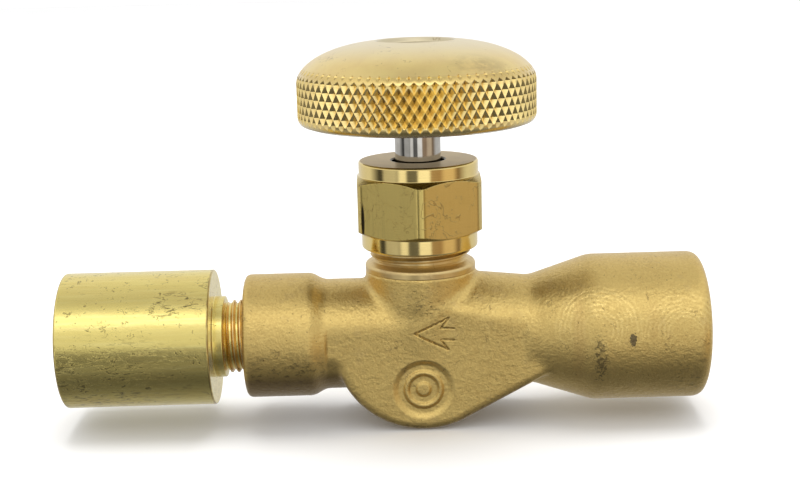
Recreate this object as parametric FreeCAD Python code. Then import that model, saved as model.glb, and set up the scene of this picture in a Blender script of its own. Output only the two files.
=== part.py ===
import FreeCAD, Part
import math
import os

# Needle valve: a forged brass body with a threaded stem, a packing nut and a knurled handwheel,
# and a turned brass adapter screwed into its outlet.
# Everything is drawn about the crossing of the pipe axis (X) and the stem axis (Z), with the inlet
# towards +X, and is moved at the end so that the origin is the centre of the inlet port's mouth.

V = FreeCAD.Vector

# Body, millimetres
INLET_END = 39.4
INLET_BOSS_R = 10.3
INLET_BOSS_START = 23.7
INLET_CONE_START = 15.3
OUTLET_END = -24.8
OUTLET_BOSS_R = 8.7
OUTLET_BOSS_START = -15.2
TUBE_R = 7.75
TUBE_START = -13.9
INLET_TUBE_ROOT_R = 8.9
INLET_TUBE_TIP_R = 7.6
CORNER = 0.8
FLAT_HALF = 7.35
BELLY_R = 12.4
BELLY_SLOPE = math.radians(28)
BELLY_ROUND = 1.2
WATERWAY_R = 2.2

# Tapered pipe ports, drawn at the thread's root
QUARTER_PORT_R = 6.81
QUARTER_PORT_LENGTH = 14.0
EIGHTH_PORT_R = 5.2
EIGHTH_PORT_LENGTH = 9.0
MOUTH_CHAMFER = 0.4
DRILL_POINT = math.radians(59)

# Neck and packing box
NECK_R = 7.7
NECK_RING_R = 7.75
NECK_RING_BOTTOM = 9.2
NECK_RING_TOP = 10.4
NECK_THREAD_R = 7.1
NECK_THREAD_ROOT_R = 6.62
NECK_THREAD_PITCH = 1.058
NECK_THREAD_START = 10.9
NECK_TOP = 20.2
PACKING_BOX_R = 5.2
PACKING_FLOOR = 16.9
SEAL_BORE_R = 4.2
SEAL_BORE_BOTTOM = 9.2
STEM_BORE_R = 3.97
CHAMBER_TOP = 2.4
CHAMBER_R = 3.3
SEAT_Z = -2.2
ORIFICE_R = 1.6
CROSSOVER_Z = -7.6

# Stem thread and travel: the stem stands one and a half turns open
PITCH = 1.27
TURNS_TO_CLOSE = 1.5
LIFT_FROM_SEAT = PITCH * TURNS_TO_CLOSE

# Stem, at rest
STEM_R = 3.175
STEM_THREAD_R = 3.9
STEM_THREAD_BOTTOM = 4.5
LAND_R = 4.1
LAND_BOTTOM = 11.3
LAND_TOP = 14.3
GROOVE_R = 3.0
GROOVE_BOTTOM = 11.9
GROOVE_TOP = 13.75
NEEDLE_R = 2.6
NEEDLE_TIP_R = 0.6
NEEDLE_HALF_ANGLE = math.radians(15)
SEAT_GAP = 0.02
SQUARE = 4.4
SQUARE_TOP = 37.0
SCREW_R = 1.75
SCREW_BOTTOM = 32.0

# Seals on the stem and around it
O_RING_SECTION_R = 0.58
BACKUP_THICKNESS = 0.5
SEAL_GAP = 0.05
RUNNING_GAP = 0.085
PACKING_GAP = 0.03
WASHER_THICKNESS = 0.7
PACKING_THICKNESS = 0.9
PACKING_VEE = 0.35

# Packing nut
NUT_BOTTOM = 12.5
NUT_TOP = 24.65
NUT_FLATS = 17.0
NUT_CORNER_R = 9.525
HEX_BOTTOM = 14.8
HEX_TOP = 22.6
UPPER_COLLAR_R = 8.3
LOWER_COLLAR_R = 8.1
NUT_HOLE_R = 3.65
NUT_THREAD_R = 7.15
NUT_THREAD_TOP = 20.8
NUT_SHOULDER = 21.6
NUT_POCKET_R = 5.3
SMALL_CHAMFER = 0.3

# Handwheel
WHEEL_R = 16.4
WHEEL_BOTTOM = 29.7
WHEEL_SIDE_TOP = 35.7
WHEEL_TOP = 41.05
WHEEL_CORNER = 1.3
RECESS_RIM_R = 5.6
RECESS_R = 5.1
RECESS_FLOOR = 40.3
SQUARE_HOLE_TOP = 37.4
DOME_SHOULDERS = [(15.72, 37.25), (13.9, 38.8), (10.6, 40.2)]
SCREW_HEAD_R = 3.2
SCREW_HEAD_ANGLE = math.radians(41)
SLOT_WIDTH = 0.8
SLOT_DEPTH = 0.6

# Outlet adapter
ADAPTER_R = 9.525
ADAPTER_END = -50.2
ADAPTER_SHOULDER = -29.2
ADAPTER_BAND_R = 5.72
ADAPTER_THREAD_START = -27.8
ADAPTER_TIP = -18.2
PIPE_THREAD_R = 5.15
PIPE_THREAD_PITCH = 0.941
PIPE_THREAD_DEPTH = 0.42
PIPE_TAPER = 1 / 32
ADAPTER_BORE_R = 2.6


def stem_plane(point):
    """A radius and a height, as a point in the plane of the stem and the pipe."""
    return V(point[0], 0, point[1])


def outline(path, place=stem_plane):
    """A face whose edge follows path: a point ends a straight run, (middle, end) an arc."""
    here = path[0]
    edges = []
    for step in path[1:] + path[:1]:
        if isinstance(step[0], tuple):
            middle, end = step
            edges.append(Part.Arc(place(here), place(middle), place(end)).toShape())
        else:
            end = step
            edges.append(Part.LineSegment(place(here), place(end)).toShape())
        here = end
    return Part.Face(Part.Wire(edges))


def turned(path):
    """Revolve (radius, height) points about the stem axis."""
    return outline(path).revolve(V(0, 0, 0), V(0, 0, 1), 360)


def turned_on_pipe(path):
    """Revolve (x, radius) points about the pipe axis."""
    return outline(path).revolve(V(0, 0, 0), V(1, 0, 0), 360)


def ring(inner_r, outer_r, bottom, top):
    """A plain ring about the stem axis."""
    return turned([(inner_r, bottom), (outer_r, bottom), (outer_r, top), (inner_r, top)])


def rod(radius, bottom, top):
    """A plain cylinder on the stem axis."""
    return Part.makeCylinder(radius, top - bottom, V(0, 0, bottom))


def thread_crests(start, end, pitch, radius, depth, taper=0.0):
    """(place, radius) points of ring crests between start and end, which may run either way."""
    direction = 1 if end > start else -1
    points = []
    for turn in range(int(abs(end - start) / pitch)):
        crest_r = radius - taper * turn * pitch
        root = start + direction * pitch * turn
        points.append((root, crest_r - depth))
        points.append((root + direction * pitch * 0.44, crest_r))
        points.append((root + direction * pitch * 0.56, crest_r))
    return points


def port(mouth_x, radius, length, into):
    """The hollow of a pipe port: a chamfered mouth, the thread's wall and the drill's point."""
    drill_r = radius - 1.1
    floor = mouth_x + into * length
    point = floor + into * drill_r / math.tan(DRILL_POINT)
    return turned_on_pipe([
        (mouth_x - into * 1.0, 0.0),
        (mouth_x - into * 1.0, radius + MOUTH_CHAMFER),
        (mouth_x, radius + MOUTH_CHAMFER),
        (mouth_x + into * MOUTH_CHAMFER, radius),
        (floor, radius),
        (floor, drill_r),
        (point, 0.0),
    ])


def pipe_forging():
    """Both bosses and the tube between them, with the forging's two side flats."""
    round_offset = CORNER * (1 - math.sin(math.radians(45)))
    outlet_corner = ((OUTLET_END + round_offset, OUTLET_BOSS_R - round_offset),
                     (OUTLET_END + CORNER, OUTLET_BOSS_R))
    inlet_corner = ((INLET_END - round_offset, INLET_BOSS_R - round_offset),
                    (INLET_END, INLET_BOSS_R - CORNER))
    pipe = turned_on_pipe([
        (OUTLET_END, 0.0),
        (OUTLET_END, OUTLET_BOSS_R - CORNER),
        outlet_corner,
        (OUTLET_BOSS_START, OUTLET_BOSS_R),
        (TUBE_START, TUBE_R),
        (0.0, TUBE_R),
        (2.5, INLET_TUBE_ROOT_R),
        (INLET_CONE_START, INLET_TUBE_TIP_R),
        (INLET_BOSS_START, INLET_BOSS_R),
        (INLET_END - CORNER, INLET_BOSS_R),
        inlet_corner,
        (INLET_END, 0.0),
    ])
    flat_length = INLET_CONE_START - 0.9 - TUBE_START
    for side in (-1, 1):
        corner_y = FLAT_HALF if side > 0 else -FLAT_HALF - 5
        pipe = pipe.cut(Part.makeBox(flat_length, 5, 30, V(TUBE_START, corner_y, -15)))
    return pipe


def belly():
    """The web under the stem: an arc about the stem axis and a straight flank to the inlet."""
    tangent = (BELLY_R * math.sin(BELLY_SLOPE), -BELLY_R * math.cos(BELLY_SLOPE))
    flank_end_x = 20.0
    flank_end_z = tangent[1] + (flank_end_x - tangent[0]) * math.tan(BELLY_SLOPE)
    arc_middle = (-BELLY_R * math.sin(BELLY_SLOPE), -BELLY_R * math.cos(BELLY_SLOPE))
    face = outline([
        (-BELLY_R, 1.0),
        (-BELLY_R, 0.0),
        (arc_middle, tangent),
        (flank_end_x, flank_end_z),
        (flank_end_x, 1.0),
    ])
    face.translate(V(0, -FLAT_HALF, 0))
    web = face.extrude(V(0, 2 * FLAT_HALF, 0))
    lower_edges = [edge for edge in web.Edges
                   if edge.BoundBox.YLength < 0.01 and edge.CenterOfMass.z < -1.0
                   and edge.CenterOfMass.x < flank_end_x - 0.1]
    return web.makeFillet(BELLY_ROUND, lower_edges)


def neck():
    """The round neck over the pipe, its turned ring and the thread for the packing nut."""
    crests = thread_crests(NECK_THREAD_START, NECK_TOP - 0.4, NECK_THREAD_PITCH,
                           NECK_THREAD_R, NECK_THREAD_R - NECK_THREAD_ROOT_R)
    path = [
        (0.0, -2.0),
        (FLAT_HALF - 0.05, -2.0),
        (FLAT_HALF - 0.05, 1.5),
        (NECK_R, 5.5),
        (NECK_R, NECK_RING_BOTTOM),
        (NECK_RING_R, NECK_RING_BOTTOM + 0.2),
        (NECK_RING_R, NECK_RING_TOP - 0.2),
        (NECK_RING_R - 0.6, NECK_RING_TOP + 0.1),
    ]
    path += [(radius, height) for height, radius in crests]
    path += [(NECK_THREAD_ROOT_R, NECK_TOP - 0.2), (NECK_THREAD_ROOT_R - 0.2, NECK_TOP), (0.0, NECK_TOP)]
    return turned(path)


def bonnet_bores():
    """Everything bored down the stem axis, from the packing box to the seat's orifice."""
    return turned([
        (0.0, CROSSOVER_Z),
        (ORIFICE_R, CROSSOVER_Z),
        (ORIFICE_R, SEAT_Z),
        (CHAMBER_R, SEAT_Z),
        (CHAMBER_R, CHAMBER_TOP),
        (STEM_BORE_R, CHAMBER_TOP + 0.6),
        (STEM_BORE_R, SEAL_BORE_BOTTOM),
        (SEAL_BORE_R, SEAL_BORE_BOTTOM + 0.2),
        (SEAL_BORE_R, PACKING_FLOOR),
        (PACKING_BOX_R, PACKING_FLOOR),
        (PACKING_BOX_R, NECK_TOP - SMALL_CHAMFER),
        (PACKING_BOX_R + SMALL_CHAMFER, NECK_TOP),
        (PACKING_BOX_R + SMALL_CHAMFER, NECK_TOP + 1.0),
        (0.0, NECK_TOP + 1.0),
    ])


def waterways():
    """The slanted way from the inlet to below the seat, and the level way out above it."""
    start = V(INLET_END - QUARTER_PORT_LENGTH - 0.5, 0, -1.0)
    end = V(-0.5, 0, CROSSOVER_Z)
    run = end - start
    slanted = Part.makeCylinder(WATERWAY_R - 0.2, run.Length, start, run)
    outlet_floor = OUTLET_END + EIGHTH_PORT_LENGTH
    level = Part.makeCylinder(WATERWAY_R - 0.02, -outlet_floor, V(outlet_floor, 0, 0), V(1, 0, 0))
    return slanted, level


def valve_body():
    body = pipe_forging().fuse([belly(), neck()]).removeSplitter()
    hollows = [bonnet_bores()]
    hollows += waterways()
    hollows.append(port(INLET_END, QUARTER_PORT_R, QUARTER_PORT_LENGTH, -1))
    hollows.append(port(OUTLET_END, EIGHTH_PORT_R, EIGHTH_PORT_LENGTH, 1))
    return body.cut(hollows)


def packing_nut():
    corner_step = (NUT_CORNER_R - NUT_FLATS / 2) * math.tan(math.radians(30))
    corners = [V(NUT_FLATS / math.sqrt(3) * math.cos(math.radians(30 + 60 * i)),
                 NUT_FLATS / math.sqrt(3) * math.sin(math.radians(30 + 60 * i)), HEX_BOTTOM)
               for i in range(6)]
    hexagon = Part.Face(Part.makePolygon(corners + corners[:1])).extrude(V(0, 0, HEX_TOP - HEX_BOTTOM))
    turned_corners = turned([
        (0.0, HEX_BOTTOM),
        (NUT_FLATS / 2, HEX_BOTTOM),
        (NUT_CORNER_R, HEX_BOTTOM + corner_step),
        (NUT_CORNER_R, HEX_TOP - corner_step),
        (NUT_FLATS / 2, HEX_TOP),
        (0.0, HEX_TOP),
    ])
    collars = turned([
        (0.0, NUT_BOTTOM),
        (LOWER_COLLAR_R - SMALL_CHAMFER, NUT_BOTTOM),
        (LOWER_COLLAR_R, NUT_BOTTOM + SMALL_CHAMFER),
        (LOWER_COLLAR_R, HEX_BOTTOM + 0.5),
        (UPPER_COLLAR_R, HEX_BOTTOM + 0.5),
        (UPPER_COLLAR_R, NUT_TOP - SMALL_CHAMFER),
        (UPPER_COLLAR_R - SMALL_CHAMFER, NUT_TOP),
        (0.0, NUT_TOP),
    ])
    bore = turned([
        (0.0, NUT_BOTTOM),
        (NUT_THREAD_R + SMALL_CHAMFER, NUT_BOTTOM),
        (NUT_THREAD_R, NUT_BOTTOM + SMALL_CHAMFER),
        (NUT_THREAD_R, NUT_THREAD_TOP),
        (NUT_POCKET_R, NUT_THREAD_TOP),
        (NUT_POCKET_R, NUT_SHOULDER),
        (NUT_HOLE_R, NUT_SHOULDER),
        (NUT_HOLE_R, NUT_TOP - 0.2),
        (NUT_HOLE_R + 0.2, NUT_TOP),
        (0.0, NUT_TOP),
    ])
    return hexagon.common(turned_corners).fuse(collars).cut(bore).removeSplitter()


def vee_ring(inner_r, outer_r, bottom):
    """One chevron packing ring: both faces rise to a ridge at the middle radius."""
    middle_r = (inner_r + outer_r) / 2
    top = bottom + PACKING_THICKNESS
    return turned([
        (inner_r, bottom),
        (middle_r, bottom + PACKING_VEE),
        (outer_r, bottom),
        (outer_r, top),
        (middle_r, top + PACKING_VEE),
        (inner_r, top),
    ])


def gland_follower(bottom):
    inner_r = STEM_R + RUNNING_GAP
    outer_r = PACKING_BOX_R - SEAL_GAP
    ring_inner_r = STEM_R + PACKING_GAP
    groove_r = (ring_inner_r + outer_r) / 2
    inner_rise = PACKING_VEE * (inner_r - ring_inner_r) / (groove_r - ring_inner_r)
    return turned([
        (inner_r, bottom + inner_rise),
        (groove_r, bottom + PACKING_VEE),
        (outer_r, bottom),
        (outer_r, NUT_SHOULDER),
        (inner_r, NUT_SHOULDER),
    ])


def stem():
    """One turned piece: needle, thread, seal land, shank and a square for the handwheel."""
    seat_r = ORIFICE_R - SEAT_GAP
    rise = 1 / math.tan(NEEDLE_HALF_ANGLE)
    seat_height = SEAT_Z + LIFT_FROM_SEAT
    tip = seat_height - (seat_r - NEEDLE_TIP_R) * rise
    cone_top = seat_height + (NEEDLE_R - seat_r) * rise
    shank = turned([
        (0.0, tip - 0.2),
        (NEEDLE_TIP_R - 0.2, tip - 0.2),
        (NEEDLE_TIP_R, tip),
        (NEEDLE_R, cone_top),
        (NEEDLE_R, STEM_THREAD_BOTTOM),
        (STEM_THREAD_R - 0.5, STEM_THREAD_BOTTOM),
        (STEM_THREAD_R, STEM_THREAD_BOTTOM + 0.5),
        (STEM_THREAD_R, LAND_BOTTOM - 0.6),
        (STEM_THREAD_R - 0.5, LAND_BOTTOM - 0.6),
        (STEM_THREAD_R - 0.5, LAND_BOTTOM),
        (LAND_R, LAND_BOTTOM),
        (LAND_R, GROOVE_BOTTOM),
        (GROOVE_R, GROOVE_BOTTOM),
        (GROOVE_R, GROOVE_TOP),
        (LAND_R, GROOVE_TOP),
        (LAND_R, LAND_TOP),
        (STEM_R, LAND_TOP),
        (STEM_R, WHEEL_BOTTOM),
        (0.0, WHEEL_BOTTOM),
    ])
    square = Part.makeBox(SQUARE, SQUARE, SQUARE_TOP - WHEEL_BOTTOM, V(-SQUARE / 2, -SQUARE / 2, WHEEL_BOTTOM))
    screw_hole = rod(SCREW_R + SEAL_GAP, SCREW_BOTTOM - 0.6, SQUARE_TOP + 1.0)
    return shank.fuse(square).removeSplitter().cut(screw_hole)


def stem_o_ring():
    middle_r = (GROOVE_R + SEAL_BORE_R) / 2
    height = GROOVE_BOTTOM + SEAL_GAP + O_RING_SECTION_R
    return Part.makeTorus(middle_r, O_RING_SECTION_R, V(0, 0, height), V(0, 0, 1))


def stem_backup_ring():
    top = GROOVE_TOP - SEAL_GAP
    return ring(GROOVE_R + SEAL_GAP, SEAL_BORE_R - SEAL_GAP, top - BACKUP_THICKNESS, top)


def handwheel():
    """A domed disc with a straight side, a shallow top recess and a square drive."""
    corner_offset = WHEEL_CORNER * (1 - math.sin(math.radians(45)))
    corner = Part.Arc(
        V(WHEEL_R - WHEEL_CORNER, 0, WHEEL_BOTTOM),
        V(WHEEL_R - corner_offset, 0, WHEEL_BOTTOM + corner_offset),
        V(WHEEL_R, 0, WHEEL_BOTTOM + WHEEL_CORNER),
    )
    dome = Part.BSplineCurve()
    dome_points = [(WHEEL_R, WHEEL_SIDE_TOP)] + DOME_SHOULDERS + [(RECESS_RIM_R, WHEEL_TOP)]
    dome.interpolate(
        Points=[stem_plane(point) for point in dome_points],
        InitialTangent=V(0, 0, 1),
        FinalTangent=V(-1, 0, 0.16),
    )
    straight = [(RECESS_RIM_R, WHEEL_TOP), (RECESS_R, RECESS_FLOOR), (0.0, RECESS_FLOOR),
                (0.0, WHEEL_BOTTOM), (WHEEL_R - WHEEL_CORNER, WHEEL_BOTTOM)]
    edges = [Part.LineSegment(stem_plane(a), stem_plane(b)).toShape()
             for a, b in zip(straight, straight[1:])]
    side = Part.LineSegment(V(WHEEL_R, 0, WHEEL_BOTTOM + WHEEL_CORNER), V(WHEEL_R, 0, WHEEL_SIDE_TOP))
    edges += [corner.toShape(), side.toShape(), dome.toShape()]
    disc = Part.Face(Part.Wire(Part.__sortEdges__(edges))).revolve(V(0, 0, 0), V(0, 0, 1), 360)
    hole = SQUARE + SEAL_GAP
    drive = Part.makeBox(hole, hole, SQUARE_HOLE_TOP - WHEEL_BOTTOM, V(-hole / 2, -hole / 2, WHEEL_BOTTOM))
    head_depth = (SCREW_HEAD_R - SCREW_R) / math.tan(SCREW_HEAD_ANGLE)
    countersink = turned([
        (0.0, SQUARE_HOLE_TOP - 0.1),
        (SCREW_R + SEAL_GAP, SQUARE_HOLE_TOP - 0.1),
        (SCREW_R + SEAL_GAP, RECESS_FLOOR - head_depth),
        (SCREW_HEAD_R + SEAL_GAP, RECESS_FLOOR),
        (0.0, RECESS_FLOOR),
    ])
    return disc.cut([drive, countersink])


def handwheel_screw():
    """A slotted countersunk screw, flush with the floor of the handwheel's recess."""
    head_depth = (SCREW_HEAD_R - SCREW_R) / math.tan(SCREW_HEAD_ANGLE)
    screw = turned([
        (0.0, SCREW_BOTTOM),
        (SCREW_R - 0.3, SCREW_BOTTOM),
        (SCREW_R, SCREW_BOTTOM + 0.3),
        (SCREW_R, RECESS_FLOOR - head_depth),
        (SCREW_HEAD_R, RECESS_FLOOR),
        (0.0, RECESS_FLOOR),
    ])
    slot = Part.makeBox(2 * SCREW_HEAD_R, SLOT_WIDTH, SLOT_DEPTH + 1,
                        V(-SCREW_HEAD_R, -SLOT_WIDTH / 2, RECESS_FLOOR - SLOT_DEPTH))
    return screw.cut(slot)


def outlet_adapter():
    """A round bar with a pipe thread for the valve at one end and a port in the other."""
    threads = thread_crests(ADAPTER_THREAD_START, ADAPTER_TIP, PIPE_THREAD_PITCH,
                            PIPE_THREAD_R, PIPE_THREAD_DEPTH, PIPE_TAPER)
    path = [
        (ADAPTER_END, 0.0),
        (ADAPTER_END, ADAPTER_R - SMALL_CHAMFER),
        (ADAPTER_END + SMALL_CHAMFER, ADAPTER_R),
        (ADAPTER_SHOULDER - SMALL_CHAMFER, ADAPTER_R),
        (ADAPTER_SHOULDER, ADAPTER_R - SMALL_CHAMFER),
        (ADAPTER_SHOULDER, ADAPTER_BAND_R),
        (ADAPTER_THREAD_START - 0.1, ADAPTER_BAND_R),
    ]
    path += threads
    path += [(ADAPTER_TIP, PIPE_THREAD_R - 0.8), (ADAPTER_TIP, 0.0)]
    socket_floor = ADAPTER_END + QUARTER_PORT_LENGTH
    bore = Part.makeCylinder(ADAPTER_BORE_R, ADAPTER_TIP - socket_floor, V(socket_floor, 0, 0), V(1, 0, 0))
    return turned_on_pipe(path).cut([port(ADAPTER_END, QUARTER_PORT_R, QUARTER_PORT_LENGTH, 1), bore])


def save(name, shape):
    """Move a finished piece so that the inlet mouth's centre is the origin, and write its STEP."""
    piece = shape.copy()
    piece.translate(V(-INLET_END, 0, 0))
    print(name, "valid", piece.isValid(), "solids", len(piece.Solids), "volume", round(piece.Volume, 2))
    piece.exportStep("parts/" + name + ".step")


washer_top = PACKING_FLOOR + WASHER_THICKNESS
upper_packing = washer_top + PACKING_THICKNESS
packing_inner_r = STEM_R + PACKING_GAP
box_inner_r = PACKING_BOX_R - SEAL_GAP

save("valve_body", valve_body())
save("packing_nut", packing_nut())
save("gland_follower", gland_follower(upper_packing + PACKING_THICKNESS))
save("upper_packing_ring", vee_ring(packing_inner_r, box_inner_r, upper_packing))
save("lower_packing_ring", vee_ring(packing_inner_r, box_inner_r, washer_top))
save("packing_washer", ring(STEM_R + RUNNING_GAP, box_inner_r, PACKING_FLOOR, washer_top))
save("stem", stem())
save("stem_o_ring", stem_o_ring())
save("stem_backup_ring", stem_backup_ring())
save("handwheel", handwheel())
save("handwheel_screw", handwheel_screw())
save("outlet_adapter", outlet_adapter())
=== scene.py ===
import math

import bmesh
import bpy
import numpy as np
from mathutils import Matrix, Vector


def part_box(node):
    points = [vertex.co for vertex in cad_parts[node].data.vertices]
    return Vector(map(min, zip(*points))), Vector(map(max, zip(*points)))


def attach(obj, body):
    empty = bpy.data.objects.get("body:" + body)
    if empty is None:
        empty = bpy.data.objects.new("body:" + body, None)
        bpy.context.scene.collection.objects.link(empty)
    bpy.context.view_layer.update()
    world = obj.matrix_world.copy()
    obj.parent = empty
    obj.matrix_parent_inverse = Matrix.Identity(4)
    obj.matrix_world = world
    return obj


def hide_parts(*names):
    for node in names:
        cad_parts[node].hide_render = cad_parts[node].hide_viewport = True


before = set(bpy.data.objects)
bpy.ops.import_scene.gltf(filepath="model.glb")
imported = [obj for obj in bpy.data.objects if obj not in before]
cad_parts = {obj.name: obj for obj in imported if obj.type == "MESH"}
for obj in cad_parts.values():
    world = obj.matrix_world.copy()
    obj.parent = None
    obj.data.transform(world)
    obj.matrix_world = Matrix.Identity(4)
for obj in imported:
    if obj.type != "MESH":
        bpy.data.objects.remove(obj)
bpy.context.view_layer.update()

# Lengths below are in millimetres about the crossing of the pipe axis and the stem axis, which is
# how the valve is drawn. place() turns them into metres in the frame, whose origin is the inlet mouth.
MM = 0.001
wheel_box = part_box("handwheel")
STEM_X = (wheel_box[0].x + wheel_box[1].x) / 2
WHEEL_BOTTOM = wheel_box[0].z / MM
FLOOR_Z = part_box("valve_body")[0].z

# Forging. Outlines are (place along the axis, radius).
INLET_END = -STEM_X / MM
OUTLET_END = -24.8
PIPE_OUTLINE = [(-24.8, 8.7), (-15.2, 8.7), (-13.9, 7.75), (0.0, 7.75), (2.5, 8.9),
                (15.3, 7.6), (23.7, 10.3), (39.4, 10.3)]
FLAT_HALF = 7.35
FLAT_LEFT = -13.2
FLAT_RIGHT = 14.3
BELLY_R = 12.395   # 0.005 under the drawn radius, to stay inside the CAD mesh
BELLY_SLOPE = math.radians(28)
BELLY_END = 22.0
BELLY_TOP = 1.0
NECK_OUTLINE = [(-2.0, 6.9), (0.0, 7.22), (1.5, 7.35), (5.5, 7.7), (9.3, 7.7)]
NECK_CUT = 9.3
INLET_HOLLOW = [(21.0, -1.8), (22.1, 0.0), (25.4, 5.6), (25.5, 6.86), (38.8, 6.86), (39.4, 7.5), (41.0, 9.1)]
OUTLET_HOLLOW = [(-27.0, 7.4), (-24.8, 5.6), (-24.4, 5.2), (-15.9, 5.2), (-15.8, 4.1), (-13.4, 0.0),
                 (-12.2, -2.0)]
BONNET_HOLLOW = [(-9.0, -1.0), (-7.6, 1.6), (-2.3, 1.6), (-2.2, 3.3), (2.4, 3.3), (3.0, 3.97),
                 (9.2, 3.97), (9.4, 4.2), (12.0, 4.2)]
OUTLET_PASSAGE_R = 2.18
OUTLET_PASSAGE = (-16.5, 0.5)
INLET_PASSAGE_R = 2.0
INLET_PASSAGE = ((25.0, 0.0, -1.0), (-0.5, 0.0, -7.6))
NET_STEP = 0.35
NET_MARGIN = 0.7

# Marks on the front flat
ARROW = [(4.2, 2.25), (2.45, 2.4), (3.55, 3.8), (-1.2, 1.65), (3.4, -0.75), (2.45, 0.7), (4.2, 0.6)]
ARROW_HALF_WIDTH = 0.13
ARROW_DEPTH = 0.26
EMBLEM_X = -0.1
EMBLEM_Z = -6.4
EMBLEM_R = 3.95
EMBLEM_DEPTH = 0.42
EMBLEM_RELIEF = 0.34
RING_R = 2.35
RING_WIDTH = 0.62
DOT_R = 0.95
MARKS_X = (-5.2, 5.2)   # the part of the flat that holds the marks
MARKS_Z = (-11.2, 4.6)

# Threads
NECK_PITCH = 1.058
NECK_CREST, NECK_ROOT = 7.05, 6.48
EIGHTH_PITCH = 0.941
EIGHTH_CREST, EIGHTH_ROOT = 5.14, 4.66
QUARTER_PITCH = 1.411
QUARTER_CREST, QUARTER_ROOT = 5.75, 6.84
PORT_THREAD = (0.6, 13.9)   # where it starts and ends, in from the port's mouth
STEM_PITCH = 1.27
STEM_CREST, STEM_ROOT = 3.9, 3.3

# Stem
STEM_R = 3.175
STEM_LAND_R = 4.1

# Packing nut
HEX_FLATS = 17.0
HEX_CORNER_R = 9.525
HEX_BLANK_R = 9.6
HEX_LOW, HEX_HIGH = 14.8, 22.6
NUT_TOP = 24.65
LOW_COLLAR_R = 8.1
HIGH_COLLAR_R = 8.3

# Outlet adapter
ADAPTER_R = 9.525
ADAPTER_END = -50.2
ADAPTER_SHOULDER = -29.2
ADAPTER_TIP = -18.2

# Handwheel
WHEEL_R = 16.4
WHEEL_CORNER = 1.3
TEETH = 76
TOOTH_STEPS = 12
PIT_ROW_STEP = 1.12
PIT_DEPTH = 0.64
PIT_ROWS = 7
TOP_PIT_ROW = 37.45
# Where the knurl's crests leave the wheel's straight side: from what height, over how far, and how
# far in they go
TOP_INSET = (36.8, 0.5, 0.42)
BOTTOM_INSET = (31.05, 0.3, -0.3)
DOME = [(16.4, 35.7), (16.22, 36.5), (15.72, 37.27), (14.95, 38.05), (13.9, 38.8), (12.5, 39.5),
        (10.6, 40.18), (8.3, 40.7), (5.6, 41.05)]
RECESS_FLOOR = 40.3


def place(points):
    """Millimetres about the valve's centre to metres in the frame."""
    moved = np.asarray(points, float) * MM
    moved[..., 0] += STEM_X
    return moved


def shade_smooth(mesh):
    mesh.polygons.foreach_set("use_smooth", [True] * len(mesh.polygons))


def new_object(name, vertices, faces, sharp_degrees=35):
    mesh = bpy.data.meshes.new(name)
    mesh.from_pydata([tuple(v) for v in place(vertices)], [], [tuple(int(i) for i in f) for f in faces])
    shade_smooth(mesh)
    if sharp_degrees:
        mesh.set_sharp_from_angle(angle=math.radians(sharp_degrees))
    mesh.update()
    piece = bpy.data.objects.new(name, mesh)
    bpy.context.scene.collection.objects.link(piece)
    return piece


# ------------------------ forging

def smooth_min(a, b, k):
    h = np.maximum(k - np.abs(a - b), 0.0) / k
    return np.minimum(a, b) - h * h * k * 0.25


def smooth_max(a, b, k):
    return -smooth_min(-a, -b, k)


def smooth_step(t):
    t = np.clip(t, 0.0, 1.0)
    return t * t * (3 - 2 * t)


def along_outline(outline, where, blur=0.0):
    """Radius of an outline at each place, its corners rounded over blur."""
    places = [p[0] for p in outline]
    radii = [p[1] for p in outline]
    if not blur:
        return np.interp(where, places, radii)
    offsets = np.linspace(-blur, blur, 7)
    return sum(np.interp(where + o, places, radii) for o in offsets) / len(offsets)


def segment_distance(x, z, start, end):
    dx, dz = end[0] - start[0], end[1] - start[1]
    t = np.clip(((x - start[0]) * dx + (z - start[1]) * dz) / (dx * dx + dz * dz), 0, 1)
    return np.hypot(x - start[0] - t * dx, z - start[1] - t * dz)


def engraving(x, z):
    """How deep the flow arrow and the round emblem are cut into the front flat."""
    line = np.full(np.shape(x), np.inf)
    for start, end in zip(ARROW, ARROW[1:]):
        line = np.minimum(line, segment_distance(x, z, start, end))
    depth = ARROW_DEPTH * smooth_step(1.25 - line / ARROW_HALF_WIDTH)
    from_centre = np.hypot(x - EMBLEM_X, z - EMBLEM_Z)
    depth = depth + EMBLEM_DEPTH * smooth_step(EMBLEM_R + 0.4 - from_centre)
    ring = np.abs(from_centre - RING_R) - RING_WIDTH / 2
    raised = np.minimum(ring, from_centre - DOT_R)
    return depth - EMBLEM_RELIEF * smooth_step((0.25 - raised) / 0.5)


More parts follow.
